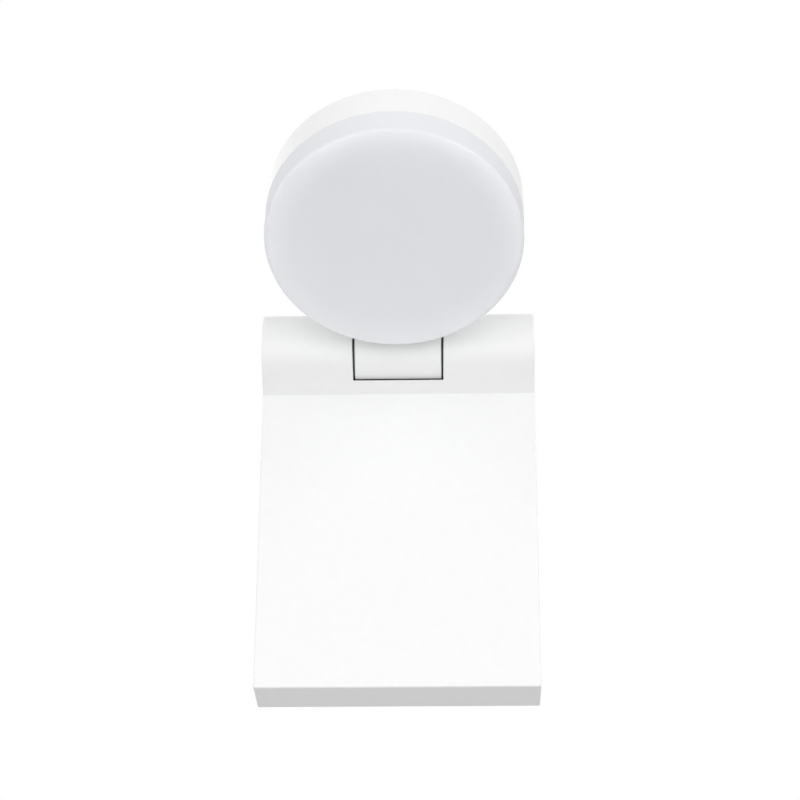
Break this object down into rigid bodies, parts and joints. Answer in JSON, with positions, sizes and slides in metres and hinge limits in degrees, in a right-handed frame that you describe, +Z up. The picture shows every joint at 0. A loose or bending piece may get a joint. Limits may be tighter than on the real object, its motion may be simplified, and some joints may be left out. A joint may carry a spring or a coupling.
{
  "type": "outdoor wall lamp",
  "caption": "White outdoor wall lamp: flat rectangular base with a hinge barrel along its top and a thick round head with an opal front that tilts up and down.",
  "frame": {"origin": "middle of the two wall fixings, on the wall plane", "axes": "+Z up, +Y into the wall, -Y out towards the viewer, +X to the viewer's right along the hinge axis"},
  "size_m": [0.11, 0.1334, 0.2061],
  "materials": {
    "white_casting": "satin",
    "opal": "satin",
    "sponge_rubber": "matte",
    "black_rubber": "matte",
    "zinc_sheet": "satin",
    "stainless": "satin",
    "spring_steel": "satin",
    "zinc_screw": "satin",
    "brass": "satin",
    "tinned_copper": "satin",
    "natural_nylon": "satin",
    "driver_plastic": "matte",
    "brown_pvc": "satin",
    "blue_pvc": "satin",
    "green_yellow_pvc": "satin",
    "black_silicone": "matte",
    "black_acetal": "satin",
    "grey_pad": "matte",
    "board_white": "satin",
    "phosphor": "satin",
    "reflector_white": "matte",
    "clear_silicone": "satin"
  },
  "bodies": {
    "base": {"base_housing": "white_casting", "wall_gasket": "sponge_rubber", "wall_bracket": "zinc_sheet", "side_screws": "stainless", "cable_grommet": "black_rubber", "terminal_block": "natural_nylon", "terminal_clamps": "brass", "terminal_screws": "zinc_screw", "terminal_fixing": "zinc_screw", "earth_lug": "tinned_copper", "earth_screw": "zinc_screw", "driver_case": "driver_plastic", "driver_lid": "driver_plastic", "driver_screws": "zinc_screw", "lead_live": "brown_pvc", "lead_neutral": "blue_pvc", "lead_earth": "green_yellow_pvc", "driver_lead": "black_silicone", "pivot_bushes": "black_acetal", "wear_rings": "black_acetal", "lip_strip": "black_rubber"},
    "head": {"head_housing": "white_casting", "pivot_tube": "stainless", "disc_springs": "spring_steel", "pivot_nuts": "stainless", "knuckle_rings": "black_rubber", "knuckle_grub": "stainless", "head_lead": "black_silicone", "thermal_pad": "grey_pad", "led_board": "board_white", "led_chips": "phosphor", "reflector": "reflector_white", "board_screws": "zinc_screw", "board_connector": "natural_nylon", "diffuser": "opal", "diffuser_seal": "clear_silicone"}
  },
  "joints": [
    {"name": "head_tilt", "type": "hinge", "parent": "base", "child": "head", "pos_m": [0, -0.02, 0.083], "axis": [1, 0, 0], "range_deg": [-65, 50]}
  ]
}
